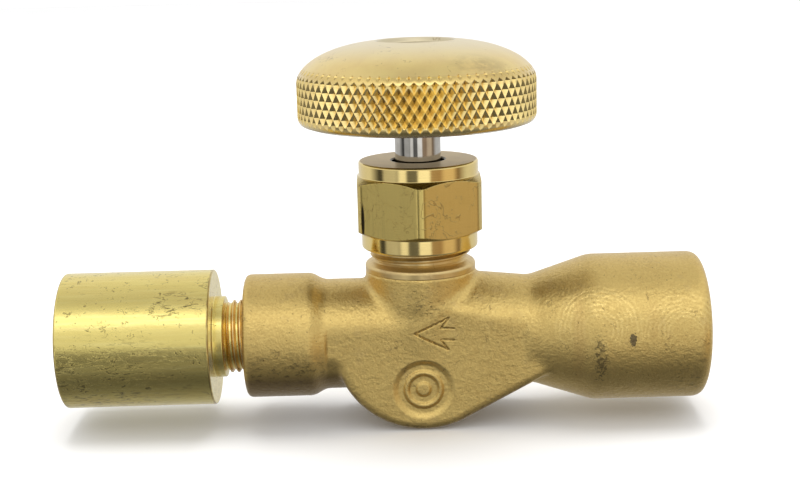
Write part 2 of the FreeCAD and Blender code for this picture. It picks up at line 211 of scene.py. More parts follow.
def outer_distance(x, y, z):
    """Distance to the forging's outside, without its marks and its hollows. The last number of each
    smooth_min or smooth_max is how far its blend reaches; the factors just under 1 allow for outlines
    that slope, along which a radius overstates the distance."""
    from_pipe = np.hypot(y, z)
    pipe = (from_pipe - along_outline(PIPE_OUTLINE, x, 0.7)) * 0.96
    pipe = smooth_max(pipe, OUTLET_END - x, 0.9)
    pipe = smooth_max(pipe, x - INLET_END, 1.8)
    flank = x * math.sin(BELLY_SLOPE) - z * math.cos(BELLY_SLOPE) - BELLY_R
    behind = -(x * math.cos(BELLY_SLOPE) + z * math.sin(BELLY_SLOPE))
    wedge = np.maximum(np.maximum(flank, behind), x - BELLY_END)
    belly = np.maximum(np.minimum(np.hypot(x, z) - BELLY_R, wedge), z - BELLY_TOP)
    edge = 0.25 + 1.15 * smooth_step((-1.0 - z) / 2.5)
    half = FLAT_HALF + 5 * smooth_step((FLAT_LEFT - x) / 1.6)
    flatted = smooth_max(smooth_min(pipe, belly, 0.5), np.abs(y) - half, edge)
    plate = smooth_max(belly, np.abs(y) - FLAT_HALF, edge)
    beyond = smooth_min(pipe, plate, 0.4)
    solid = flatted + (beyond - flatted) * smooth_step((x - FLAT_RIGHT + 0.4) / 1.1)
    neck = (np.hypot(x, y) - along_outline(NECK_OUTLINE, z)) * 0.98
    neck = np.maximum(np.maximum(neck, z - NECK_CUT), NECK_OUTLINE[0][0] - z)
    return smooth_min(solid, neck, 0.9)


def hollow_distance(p):
    """Distance to the ports, the bonnet's bore and the two passages that join them."""
    x, y, z = p[..., 0], p[..., 1], p[..., 2]
    from_pipe = np.hypot(y, z)
    inlet = (from_pipe - along_outline(INLET_HOLLOW, x)) * 0.8
    outlet = (from_pipe - along_outline(OUTLET_HOLLOW, x)) * 0.8
    outlet = np.where(x < OUTLET_HOLLOW[-1][0] + 0.2, outlet, 5.0)
    bonnet = (np.hypot(x, y) - along_outline(BONNET_HOLLOW, z)) * 0.9
    ends = np.maximum(x - OUTLET_PASSAGE[1], OUTLET_PASSAGE[0] - x)
    level = np.maximum(from_pipe - OUTLET_PASSAGE_R, ends)
    start, end = np.array(INLET_PASSAGE)
    run = end - start
    t = np.clip(((p - start) @ run) / (run @ run), 0, 1)
    slanted = np.linalg.norm(p - start - t[..., None] * run, axis=-1) - INLET_PASSAGE_R
    return np.minimum(np.minimum(inlet, outlet), np.minimum(bonnet, np.minimum(level, slanted)))


def forging_distance(p):
    """Distance to the forging's surface, negative inside, for points in millimetres."""
    x, y, z = p[..., 0], p[..., 1], p[..., 2]
    on_front = y < -5
    solid = outer_distance(x, y, z) + np.where(on_front, engraving(x, z), 0.0)
    return smooth_max(solid, -hollow_distance(p), 0.25)


def surface_net(distance, low, high, step):
    """Vertices and quads of the zero surface of distance inside a box: one vertex in each cell that
    the surface crosses, and one quad round each grid edge that it crosses."""
    axes = [np.arange(a, b + step, step) for a, b in zip(low, high)]
    grid = np.stack(np.meshgrid(*axes, indexing="ij"), axis=-1)
    value = np.stack([distance(layer) for layer in grid])
    inside = value < 0
    n = np.array(value.shape)
    corners = [(i, j, k) for i in (0, 1) for j in (0, 1) for k in (0, 1)]

    def at(a, c):
        """The array seen from every cell's corner c."""
        return a[c[0]:n[0] - 1 + c[0], c[1]:n[1] - 1 + c[1], c[2]:n[2] - 1 + c[2]]

    count = sum(at(inside, c).astype(int) for c in corners)
    mixed = (count > 0) & (count < 8)
    index = np.full(mixed.shape, -1)
    index[mixed] = np.arange(mixed.sum())
    cells = np.argwhere(mixed)
    values = {c: at(value, c)[mixed] for c in corners}
    total = np.zeros((len(cells), 3))
    crossings = np.zeros(len(cells))
    for c in corners:
        for axis in range(3):
            if c[axis]:
                continue
            d = tuple(1 if i == axis else v for i, v in enumerate(c))
            a, b = values[c], values[d]
            crosses = (a < 0) != (b < 0)
            t = np.where(crosses, a / np.where(crosses, a - b, 1.0), 0.0)
            point = np.tile(np.array(c, float), (len(cells), 1))
            point[:, axis] += t
            total += point * crosses[:, None]
            crossings += crosses
    vertices = np.array([a[0] for a in axes]) + step * (cells + total / crossings[:, None])
    quads = []
    for axis in range(3):
        b, c = (axis + 1) % 3, (axis + 2) % 3
        first = [slice(None)] * 3
        second = [slice(None)] * 3
        first[axis], second[axis] = slice(0, -1), slice(1, None)
        for s in (first, second):
            s[b], s[c] = slice(1, -1), slice(1, -1)
        one, two = inside[tuple(first)], inside[tuple(second)]
        edges = np.argwhere(one != two)
        flip = one[one != two]
        ring = []
        for db, dc in ((0, 0), (1, 0), (1, 1), (0, 1)):
            cell = edges.copy()
            cell[:, b] += db
            cell[:, c] += dc
            ring.append(index[cell[:, 0], cell[:, 1], cell[:, 2]])
        ring = np.stack(ring, axis=1)
        ring[~flip] = ring[~flip][:, ::-1]
        quads.append(ring)
    return vertices, np.concatenate(quads)


def onto_surface(distance, points, rounds):
    """Slide points along the field's slope until they lie on its zero surface."""
    eps = 0.02
    farthest = 0.3
    for _ in range(rounds):
        value = distance(points)
        slope = np.stack([(distance(points + eps * d) - distance(points - eps * d)) / (2 * eps)
                          for d in np.eye(3)], axis=-1)
        size = np.maximum((slope ** 2).sum(-1), 0.2)
        move = np.clip(value / size, -farthest, farthest)
        points = points - slope * move[:, None]
    return points


def build_forging():
    """The forging as a net over its distance field, four times finer round the engraved marks."""
    low = (OUTLET_END - NET_MARGIN, -10.9, -13.1)
    high = (INLET_END + NET_MARGIN, 10.9, 11.1)
    vertices, quads = surface_net(forging_distance, low, high, NET_STEP)
    vertices = onto_surface(forging_distance, vertices, 4)
    piece = new_object("valve_body_forging", vertices, quads, sharp_degrees=None)
    mesh = bmesh.new()
    mesh.from_mesh(piece.data)
    near_marks = []
    for face in mesh.faces:
        centre = face.calc_center_median() / MM
        x = centre.x - STEM_X / MM
        on_flat = centre.y < -6.3
        if on_flat and MARKS_X[0] < x < MARKS_X[1] and MARKS_Z[0] < centre.z < MARKS_Z[1]:
            near_marks.append(face)
    edges = list({edge for face in near_marks for edge in face.edges})
    bmesh.ops.subdivide_edges(mesh, edges=edges, cuts=3, use_grid_fill=True)
    mesh.to_mesh(piece.data)
    mesh.free()
    co = np.empty(len(piece.data.vertices) * 3)
    piece.data.vertices.foreach_get("co", co)
    points = co.reshape(-1, 3) / MM
    points[:, 0] -= STEM_X / MM
    points = onto_surface(forging_distance, points, 3)
    piece.data.vertices.foreach_set("co", place(points).ravel())
    shade_smooth(piece.data)
    piece.data.update()
    return piece


# ------------------------ turned pieces

def rounded(outline, steps=4, beside=0.04):
    """A closed outline of (along, radius, corner) with each corner cut by an arc of that radius.
    A point close beside each arc's end keeps the shading of the straight runs flat."""
    points = []
    count = len(outline)
    for i, (a, r, corner) in enumerate(outline):
        here = np.array([a, r])
        if corner <= 0:
            points.append(tuple(here))
            continue
        back = np.array(outline[i - 1][:2]) - here
        ahead = np.array(outline[(i + 1) % count][:2]) - here
        back /= np.linalg.norm(back)
        ahead /= np.linalg.norm(ahead)
        half = math.acos(np.clip(back @ ahead, -1, 1)) / 2
        reach = corner / math.tan(half)
        middle = (back + ahead) / np.linalg.norm(back + ahead)
        centre = here + middle * corner / math.sin(half)
        start, end = here + back * reach - centre, here + ahead * reach - centre
        turn = math.acos(np.clip(start @ end / corner ** 2, -1, 1))
        points.append(tuple(centre + start + back * beside))
        for k in range(steps + 1):
            t = k / steps
            points.append(tuple(centre + (math.sin((1 - t) * turn) * start + math.sin(t * turn) * end)
                                / math.sin(turn)))
        points.append(tuple(centre + end + ahead * beside))
    return points


def split_long(points, low, high, step):
    """More rows on the straight runs of an outline between two places along it."""
    out = []
    for here, there in zip(points, points[1:] + points[:1]):
        out.append(here)
        middle = (here[0] + there[0]) / 2
        length = math.hypot(there[0] - here[0], there[1] - here[1])
        if low <= middle <= high and length > step * 1.5:
            n = int(length / step)
            for k in range(1, n):
                t = k / n
                out.append((here[0] + t * (there[0] - here[0]), here[1] + t * (there[1] - here[1])))
    return out


def round_axis(axis, along, radius, angle):
    """Points at an angle and a radius about the stem (axis Z) or the pipe (axis X)."""
    side, up = radius * np.cos(angle), radius * np.sin(angle)
    return np.stack([side, up, along] if axis == "Z" else [along, side, up], axis=-1)


def turned(name, points, columns, axis="Z", change=None, sharp_degrees=35, ridges=False):
    """Turn a closed outline about the stem (axis Z) or the pipe (axis X).
    change(along, radius, angle) may alter the radii, as a knurl or a hexagon does; with ridges, each
    quad is split along its higher diagonal so that slanting ridges stay straight."""
    points = np.array(points, float)
    angle = np.linspace(0, 2 * math.pi, columns, endpoint=False)
    along = np.repeat(points[:, :1], columns, axis=1)
    radius = np.repeat(points[:, 1:2], columns, axis=1)
    angles = np.repeat(angle[None, :], len(points), axis=0)
    if change:
        radius = change(along, radius, angles)
    vertices = round_axis(axis, along, radius, angles)
    rows = len(points)
    i, j = np.meshgrid(np.arange(rows), np.arange(columns), indexing="ij")
    i2, j2 = (i + 1) % rows, (j + 1) % columns
    quads = np.stack([i * columns + j, i * columns + j2, i2 * columns + j2, i2 * columns + j], -1)
    quads = quads.reshape(-1, 4)
    following = np.roll(points, -1, axis=0)
    area = 0.5 * np.sum(points[:, 0] * following[:, 1] - following[:, 0] * points[:, 1])
    if (area > 0) == (axis == "Z"):
        quads = quads[:, ::-1]
    if ridges:
        out = radius.ravel()[quads]
        turn = (out[:, 1] + out[:, 3] > out[:, 0] + out[:, 2]).astype(int)[:, None]
        corner = (np.arange(4)[None, :] + turn) % 4
        quads = np.take_along_axis(quads, corner, axis=1)
        quads = np.concatenate([quads[:, [0, 1, 2]], quads[:, [0, 2, 3]]])
    return new_object(name, vertices.reshape(-1, 3), quads, sharp_degrees=sharp_degrees)


def thread_strip(name, low, high, pitch, crest, root, axis="Z", columns=128, crest_share=0.16):
    """A right-hand thread between two places along the axis: one strip wound as a true helix.
    It runs out to the root radius at both ends, inside the pieces that it meets."""
    soft = 0.04
    half = crest_share / 2
    profile = [(0.0, 1.0), (half, 1.0), (half + soft, 0.9), (0.5 - half - soft, 0.1), (0.5 - half, 0.0),
               (0.5 + half, 0.0), (0.5 + half + soft, 0.1), (1 - half - soft, 0.9), (1 - half, 1.0)]
    per_turn = len(profile)
    turns = int(math.ceil((high - low) / pitch)) + 2
    rows = per_turn * turns
    row = np.arange(rows)
    share = np.array([profile[k % per_turn][0] for k in row]) + row // per_turn
    height = np.array([profile[k % per_turn][1] for k in row])
    angle = 2 * math.pi * np.arange(columns) / columns
    along = low - pitch + pitch * (share[:, None] + angle[None, :] / (2 * math.pi))
    reach = min(0.7 * pitch, (high - low) / 4)
    strength = smooth_step((along - low) / reach) * smooth_step((high - along) / reach)
    radius = root + (crest - root) * height[:, None] * strength
    vertices = round_axis(axis, np.clip(along, low, high), radius, angle)
    faces = []
    for k in range(rows - per_turn - 1):
        first, second = k * columns, (k + 1) * columns
        for j in range(columns - 1):
            faces.append((first + j, first + j + 1, second + j + 1, second + j))
        wrap, wrap_up = (k + per_turn) * columns, (k + per_turn + 1) * columns
        faces.append((first + columns - 1, wrap, wrap_up, second + columns - 1))
    faces = np.array(faces)
    if crest < root:
        faces = faces[:, ::-1]
    return new_object(name, vertices.reshape(-1, 3), faces, sharp_degrees=28)


def build_neck():
    outline = rounded([
        (9.0, 4.3, 0), (9.0, 7.5, 0), (9.25, 7.72, 0.2), (10.15, 7.72, 0.5), (10.7, 6.75, 0.2),
        (10.95, 6.5, 0), (19.7, 6.5, 0.3), (20.2, 6.4, 0), (20.2, 5.2, 0.1), (16.9, 5.2, 0), (16.9, 4.3, 0),
    ])
    return turned("neck", outline, 160)


def build_neck_thread():
    return thread_strip("neck_thread", 10.85, 20.0, NECK_PITCH, NECK_CREST, NECK_ROOT)


def build_nut():
    """Collar, chamfered hexagon, collar. The hexagon's rows are closest together at its chamfers."""
    low, high = HEX_LOW, HEX_HIGH
    slope = 1 / math.tan(math.radians(30))
    collar = HIGH_COLLAR_R
    outline = rounded([
        (12.5, 7.2, 0.2), (12.5, LOW_COLLAR_R, 0.3), (14.7, LOW_COLLAR_R, 0.12), (low, 8.45, 0),
        (low, HEX_BLANK_R, 0), (high, HEX_BLANK_R, 0), (high, 8.55, 0), (high + 0.1, collar, 0.12),
        (NUT_TOP, collar, 0.3), (NUT_TOP, 3.65, 0.2), (21.6, 3.65, 0), (21.6, 5.3, 0), (20.8, 5.3, 0),
        (20.8, 7.15, 0),
    ])
    outline = split_long(outline, low - 0.01, low + 1.2, 0.06)
    outline = split_long(outline, high - 1.2, high + 0.01, 0.06)
    rows = [low + 0.05 * k for k in range(1, 16)]
    rows += [low + 1.5 + 0.6 * k for k in range(9)]
    rows += [high - 0.05 * k for k in range(15, 0, -1)]
    first = outline.index((low, HEX_BLANK_R)) + 1
    outline[first:first] = [(z, HEX_BLANK_R) for z in rows]

    def change(along, radius, angle):
        turn = np.mod(angle + math.pi / 6, math.pi / 3) - math.pi / 6
        hexagon = HEX_FLATS / 2 / np.cos(turn)
        chamfer = HEX_FLATS / 2 + np.minimum(along - low, high - along) * slope
        shape = smooth_min(smooth_min(hexagon, HEX_CORNER_R, 0.15), chamfer, 0.05)
        in_hex = (radius > 8.46) & (along >= low - 1e-6) & (along <= high + 1e-6)
        return np.where(in_hex, np.minimum(np.maximum(shape, collar), radius), radius)
    return turned("packing_nut_turned", outline, 480, change=change, sharp_degrees=40)


def wheel_side(z):
    """Radius of the handwheel's straight side before knurling, and of the round under it."""
    below = np.maximum(WHEEL_BOTTOM + WHEEL_CORNER - z, 0)
    return WHEEL_R - WHEEL_CORNER + np.sqrt(np.maximum(WHEEL_CORNER ** 2 - below ** 2, 0))


def dome_curve(steps=3):
    """The dome's outline above the knurl, as a smooth curve through its points."""
    points = np.array(DOME)
    out = []
    for i in range(len(points) - 1):
        before = points[max(i - 1, 0)]
        a, b = points[i], points[i + 1]
        after = points[min(i + 2, len(points) - 1)]
        for k in range(steps):
            t = k / steps
            out.append(0.5 * (2 * a + (b - before) * t + (2 * before - 5 * a + 4 * b - after) * t ** 2
                              + (3 * a - before - 3 * b + after) * t ** 3))
    out.append(points[-1])
    return np.array(out)


def build_handwheel():
    """The wheel with its knurl: crossing ridges with a four-sided pit between them, whose first and
    last rows only just touch the rounded shoulders."""
    dome = dome_curve()
    step = 2 * PIT_ROW_STEP / TOOTH_STEPS
    knurl_top = TOP_PIT_ROW + PIT_ROW_STEP / 2
    low = TOP_PIT_ROW - PIT_ROW_STEP * (PIT_ROWS - 0.5)
    low -= step * math.floor((low - WHEEL_BOTTOM) / step)
    knurl_rows = np.arange(low + step, knurl_top, step)
    on_dome = np.interp(knurl_rows, dome[:, 1], dome[:, 0])
    blank = np.where(knurl_rows < DOME[0][1], wheel_side(knurl_rows), on_dome)
    side = list(zip(knurl_rows, blank))
    above = [(z, r) for r, z in dome if z > knurl_rows[-1] + 0.08]
    inside = rounded([(41.05, 5.6, 0), (40.95, 5.3, 0), (40.35, 5.1, 0.25), (RECESS_FLOOR, 3.3, 0),
                      (38.6, 1.85, 0), (37.4, 1.85, 0), (37.4, 3.16, 0), (29.7, 3.16, 0.2)])[1:]
    under = [(WHEEL_BOTTOM, 4.2), (WHEEL_BOTTOM, 12.0), (WHEEL_BOTTOM, WHEEL_R - WHEEL_CORNER)]
    outline = side + above + inside + under

    def change(along, radius, angle):
        turn = angle * TEETH / (2 * math.pi)
        rise = (TOP_PIT_ROW - along) / (2 * PIT_ROW_STEP) + 0.5
        one = np.abs(2 * (turn + rise - np.floor(turn + rise)) - 1)
        two = np.abs(2 * (turn - rise - np.floor(turn - rise)) - 1)
        top, top_over, top_in = TOP_INSET
        bottom, bottom_over, bottom_in = BOTTOM_INSET
        inset = top_in * smooth_step((along - top) / top_over)
        inset = inset + bottom_in * smooth_step((bottom - along) / bottom_over)
        cut = WHEEL_R - inset - PIT_DEPTH * (1 - np.maximum(one, two))
        in_band = (along < knurl_top + 0.01) & (along > WHEEL_BOTTOM + 0.05) & (radius > 14)
        return np.where(in_band, np.minimum(radius, cut), radius)
    return turned("handwheel_knurled", outline, TEETH * TOOTH_STEPS, change=change, sharp_degrees=18,
                  ridges=True)


def build_adapter():
    end, shoulder, tip = ADAPTER_END, ADAPTER_SHOULDER, ADAPTER_TIP
    outline = rounded([
        (end, 7.4, 0), (end, ADAPTER_R, 0.3), (shoulder, ADAPTER_R, 0.22), (shoulder, 5.72, 0.15),
        (-27.75, 5.72, 0.15), (-27.55, 4.72, 0.1), (tip, 4.6, 0.3), (tip, 2.6, 0.2),
        (end + 14.0, 2.6, 0), (end + 14.0, 6.86, 0), (end + 0.6, 6.86, 0),
    ])
    return turned("outlet_adapter_turned", outline, 192, axis="X")


def build_adapter_thread():
    return thread_strip("outlet_adapter_thread", -27.65, -18.6, EIGHTH_PITCH, EIGHTH_CREST, EIGHTH_ROOT,
                        axis="X")


def build_port_thread(name, mouth, inward):
    """The female thread in a port. inward is 1 or -1, the way into the port along the pipe."""
    low, high = sorted(mouth + inward * depth for depth in PORT_THREAD)
    return thread_strip(name, low, high, QUARTER_PITCH, QUARTER_CREST, QUARTER_ROOT, axis="X")


def build_stem():
    outline = [
        (-4.1, 0.01, 0), (-4.1, 0.4, 0), (-3.9, 0.6, 0), (3.5, 2.6, 0.3), (4.5, 2.6, 0), (4.5, 3.3, 0),
        (11.3, 3.32, 0), (11.3, STEM_LAND_R, 0.1), (11.9, STEM_LAND_R, 0.1), (11.9, 3.0, 0),
        (13.75, 3.0, 0), (13.75, STEM_LAND_R, 0.1), (14.3, STEM_LAND_R, 0.1), (14.3, STEM_R, 0),
        (29.69, STEM_R, 0.05), (29.7, 0.01, 0),
    ]
    return turned("stem_turned", rounded(outline), 96)


def build_stem_thread():
    return thread_strip("stem_thread", 4.9, 10.8, STEM_PITCH, STEM_CREST, STEM_ROOT)


# ------------------------ materials

class Nodes:
    """A material's node tree, with short calls for the nodes that every finish here uses."""

    def __init__(self, name):
        self.material = bpy.data.materials.new(name)
        self.material.use_nodes = True
        self.tree = self.material.node_tree
        self.shader = self.tree.nodes["Principled BSDF"]
        self.object_point = self.add("ShaderNodeTexCoord").outputs["Object"]

    def add(self, kind, **settings):
        node = self.tree.nodes.new(kind)
        for key, value in settings.items():
            setattr(node, key, value)
        return node

    def link(self, source, target):
        if isinstance(source, (int, float)):
            target.default_value = source
        elif isinstance(source, tuple):
            target.default_value = source if len(source) == len(target.default_value) else (*source, 1.0)
        else:
            self.tree.links.new(source, target)

    def math(self, operation, a, b=0.0):
        node = self.add("ShaderNodeMath", operation=operation)
        self.link(a, node.inputs[0])
        self.link(b, node.inputs[1])
        return node.outputs[0]

    def sum(self, a, b):
        return self.math("ADD", a, b)

    def times(self, *values):
        product = values[0]
        for value in values[1:]:
            product = self.math("MULTIPLY", product, value)
        return product

    def most(self, *values):
        largest = values[0]
        for value in values[1:]:
            largest = self.math("MAXIMUM", largest, value)
        return largest

    def rest(self, value):
        """1 less the value."""
        return self.math("SUBTRACT", 1.0, value)

    def point(self, scale=(1, 1, 1), centre=(0, 0, 0)):
        """The surface point in millimetres about a centre on the valve, stretched by scale."""
        node = self.add("ShaderNodeMapping", vector_type="POINT")
        factor = [s / MM for s in scale]
        node.inputs["Scale"].default_value = factor
        node.inputs["Location"].default_value = (
            -(STEM_X + centre[0] * MM) * factor[0], -centre[1] * MM * factor[1], -centre[2] * MM * factor[2])
        self.link(self.object_point, node.inputs["Vector"])
        return node.outputs[0]

    def noise(self, size, detail=2.0, roughness=0.5, scale=(1, 1, 1), distortion=0.0, offset=0.0):
        """Noise from 0 to 1 whose features are about size millimetres."""
        node = self.add("ShaderNodeTexNoise")
        node.inputs["Scale"].default_value = 1.0 / size
        node.inputs["Detail"].default_value = detail
        node.inputs["Roughness"].default_value = roughness
        node.inputs["Distortion"].default_value = distortion
        self.link(self.point(scale, (offset, offset, offset)), node.inputs["Vector"])
        return node.outputs["Fac"]

    def ramp(self, value, low, high, to_low=0.0, to_high=1.0):
        node = self.add("ShaderNodeMapRange", interpolation_type="SMOOTHSTEP", clamp=True)
        self.link(value, node.inputs["Value"])
        node.inputs["From Min"].default_value = low
        node.inputs["From Max"].default_value = high
        node.inputs["To Min"].default_value = to_low
        node.inputs["To Max"].default_value = to_high
        return node.outputs["Result"]

    def fall(self, value, low, high):
        """1 below low, falling to 0 at high."""
        return self.ramp(value, low, high, 1.0, 0.0)

    def mix(self, factor, a, b):
        node = self.add("ShaderNodeMix", data_type="RGBA")
        self.link(factor, node.inputs["Factor"])
        self.link(a, node.inputs["A"])
        self.link(b, node.inputs["B"])
        return node.outputs["Result"]

    def scratches(self, size, width, share, offset=0.0, scale=(1, 1, 1)):
        """Thin wandering lines: the level curve of one noise, kept only in patches of another."""
        field = self.noise(size, 3, 0.6, scale, 0.6, offset)
        level = self.math("ABSOLUTE", self.math("SUBTRACT", field, 0.5))
        line = self.fall(level, width * 0.4, width)
        patch = self.noise(size * 1.1, 3, 0.7, offset=offset + 17.0)
        return self.times(line, self.ramp(patch, share, share + 0.05))

    def rings(self, centre, low, high, spacing):
        """Swirl marks round a point: fine wavering rings between two radii, patchy, and fading at
        both ends."""
        distance = self.sum(self.distance(centre), self.times(self.noise(2.0, 4, 0.6), 1.6))
        wave = self.math("SINE", self.times(distance, 2 * math.pi / spacing))
        patch = self.ramp(self.noise(1.6, 4, offset=27.0), 0.3, 0.55)
        fade = self.times(self.ramp(distance, low, low + 1.2), self.fall(distance, high - 1.5, high))
        return self.times(self.ramp(wave, -0.8, 1.0), patch, fade)

    def distance(self, centre, scale=(1, 1, 1)):
        node = self.add("ShaderNodeVectorMath", operation="LENGTH")
        self.link(self.point(scale, centre), node.inputs[0])
        return node.outputs["Value"]

    def dot(self, direction):
        """How far the surface point lies from the valve's centre along a direction, in millimetres."""
        node = self.add("ShaderNodeVectorMath", operation="DOT_PRODUCT")
        self.link(self.point(), node.inputs[0])
        node.inputs[1].default_value = direction
        return node.outputs["Value"]

    def across(self):
        return self.dot((1, 0, 0))

    def height(self):
        return self.dot((0, 0, 1))

    def near(self, centre, reach, soft, scale=(1, 1, 1)):
        """1 within reach millimetres of a point on the valve, falling to 0 over soft."""
        return self.fall(self.distance(centre, scale), reach, reach + soft)

    def near_stem(self, reach, soft):
        """1 within reach millimetres of the stem's axis, falling to 0 over soft."""
        return self.near((0, 0, 0), reach, soft, (1, 1, 0))

    def bump(self, height, distance_mm, strength=1.0, normal=None):
        node = self.add("ShaderNodeBump")
        node.inputs["Strength"].default_value = strength
        node.inputs["Distance"].default_value = distance_mm * MM
        self.link(height, node.inputs["Height"])
        if normal is not None:
            self.link(normal, node.inputs["Normal"])
        return node.outputs["Normal"]

    def finish(self, colour, roughness, normal, metallic=1.0, dust=0.0):
        self.shader.inputs["Sheen Weight"].default_value = dust
        self.shader.inputs["Sheen Roughness"].default_value = 0.4
        self.shader.inputs["Metallic"].default_value = metallic
        self.link(colour, self.shader.inputs["Base Color"])
        self.link(roughness, self.shader.inputs["Roughness"])
        self.link(normal, self.shader.inputs["Normal"])
        return self.material


# Dark colours on the brass: marks, the darkening of creases, and painted shade
GRIME_AND_SHADE = (0.13, 0.10, 0.05)
PORE = (0.20, 0.13, 0.05)
CAVITY = (0.16, 0.11, 0.04)
NICK = (0.10, 0.08, 0.05)
RIM_SHADE = (0.24, 0.16, 0.07)


def forged_brass():
    """Blasted forging: bumpy golden skin, polished swirls on the bosses, tarnish in worn places, darker
    creases, and painted shade on the belly's lower rim, above the neck and on the inlet boss's top and cone.
    """
    n = Nodes("forged_brass")
    patches = n.ramp(n.noise(5.0, 3), 0.35, 0.7)
    colour = n.mix(patches, (0.67, 0.48, 0.165), (0.59, 0.415, 0.14))
    grain = n.noise(0.3, 3, 0.6)
    lumps = n.noise(0.75, 2, 0.55, (1, 1, 1.3), offset=5.0)
    colour = n.mix(n.ramp(grain, 0.3, 0.75), colour, (0.73, 0.54, 0.19))

    # Swirls left by polishing, on the upper half of the inlet boss and on its cone
    above = n.ramp(n.height(), -1.5, 2.5)
    swirl = n.rings((23.6, -10.0, 2.4), 1.8, 7.6, 0.66)
    swirl = n.most(swirl, n.rings((35.4, -10.2, 1.3), 2.2, 7.4, 0.62))
    swirl = n.most(swirl, n.times(n.rings((11.5, -7.0, 2.2), 2.6, 5.5, 0.7), 0.4))
    swirl = n.times(swirl, above)
    colour = n.mix(n.times(swirl, 0.36), colour, (0.90, 0.69, 0.27))
    # Painted shade: darker patches on the top of the inlet boss and on the top of its cone.
    shade = n.times(n.near((31.2, -9.0, 2.0), 0.2, 1.3, (1.0, 0.5, 0.3)), above)
    shade = n.most(shade, n.near((21.2, -8.5, 1.0), 0.4, 0.9, (1.0, 0.25, 0.13)))
    colour = n.mix(n.times(shade, 0.4), colour, (0.56, 0.37, 0.13))

    # Rubbed patches, pores and scratches
    rubbed = n.ramp(n.noise(2.6, 4, 0.65, offset=21.0), 0.56, 0.68)
    colour = n.mix(n.times(rubbed, 0.35), colour, (0.58, 0.42, 0.17))
    pores = n.ramp(n.noise(0.35, 2, 0.6, offset=7.0), 0.64, 0.74)
    spots = n.ramp(n.noise(1.6, 4, 0.7, offset=3.0), 0.54, 0.72)
    colour = n.mix(n.times(pores, n.sum(n.times(spots, 0.6), 0.5)), colour, PORE)
    lines = n.scratches(3.0, 0.012, 0.58, 31.0)
    colour = n.mix(n.times(lines, 0.55), colour, (0.22, 0.15, 0.06))

    # Tarnish and painted shade: flecks in three places, and a speckled streak down the inlet boss. The
    # flecks on the outlet boss and low on the inlet boss are tarnish; those above the neck are painted
    # shade, standing for a dark reflection there.
    worn_and_shaded = n.near((-19.5, -7.5, -3.5), 2.2, 4.0, (0.75, 1, 1.3))
    # Painted shade: the flecks above the neck, where a dark reflection falls.
    worn_and_shaded = n.most(worn_and_shaded, n.near((0.0, -7.4, 5.2), 0.6, 3.0, (0.7, 1, 1.2)))
    worn_and_shaded = n.most(worn_and_shaded, n.times(n.near((37.0, -8.5, -4.5), 1.0, 5.0), 0.6))
    flecks = n.ramp(n.noise(0.8, 5, 0.75, (0.7, 1, 1.4), offset=11.0), 0.50, 0.64)
    streak = n.near((24.0, -9.2, -1.8), 0.2, 1.7, (0.9, 0.4, 0.28))
    specks = n.sum(n.noise(0.5, 5, 0.8, offset=23.0), n.times(streak, 0.27))
    tarnish_and_shade = n.most(n.times(flecks, worn_and_shaded), n.ramp(specks, 0.69, 0.77))
    colour = n.mix(n.times(tarnish_and_shade, 0.72), colour, GRIME_AND_SHADE)

    # The nick on the inlet boss
    nick_edge = n.times(n.noise(0.35, 3, 0.7, offset=2.0), 1.3)
    nick = n.fall(n.sum(n.distance((28.3, -10.2, 0.8), (1.25, 0.4, 0.62)), nick_edge), 1.12, 1.24)
    colour = n.mix(n.times(nick, 0.85), colour, NICK)

    # Painted shade on the belly's rim, darker where it faces down: its round part left of the slope's foot,
    # then the straight flank
    sine, cosine = math.sin(BELLY_SLOPE), math.cos(BELLY_SLOPE)
    on_curve = n.math("LESS_THAN", n.dot((cosine, 0, sine)), 0.0)
    from_centre = n.times(n.distance((0, 0, 0), (1, 0, 1)), on_curve)
    outward = n.most(n.dot((sine, 0, -cosine)), from_centre)
    rim_shade = n.ramp(n.sum(outward, n.times(n.noise(1.0, 4, 0.7, offset=15.0), 1.2)), 12.25, 12.75)
    rim_shade = n.times(rim_shade, n.fall(n.height(), -5.0, -3.0), n.fall(n.across(), 13.5, 15.0))
    colour = n.mix(n.times(rim_shade, 0.8), colour, RIM_SHADE)

    # Darker in the concave creases and in the engraved grooves, by Pointiness.
    cavity = n.fall(n.add("ShaderNodeNewGeometry").outputs["Pointiness"], 0.44, 0.495)
    colour = n.mix(n.times(cavity, 0.7), colour, CAVITY)
    roughness = n.ramp(grain, 0.2, 0.8, 0.47, 0.34)
    roughness = n.math("SUBTRACT", roughness, n.times(swirl, 0.12))
    normal = n.bump(lumps, 0.10, 0.7)
    normal = n.bump(grain, 0.06, 0.8, normal)
    normal = n.bump(n.times(nick, -1.0), 0.15, 1.0, normal)
    return n.finish(colour, roughness, normal, dust=0.12)


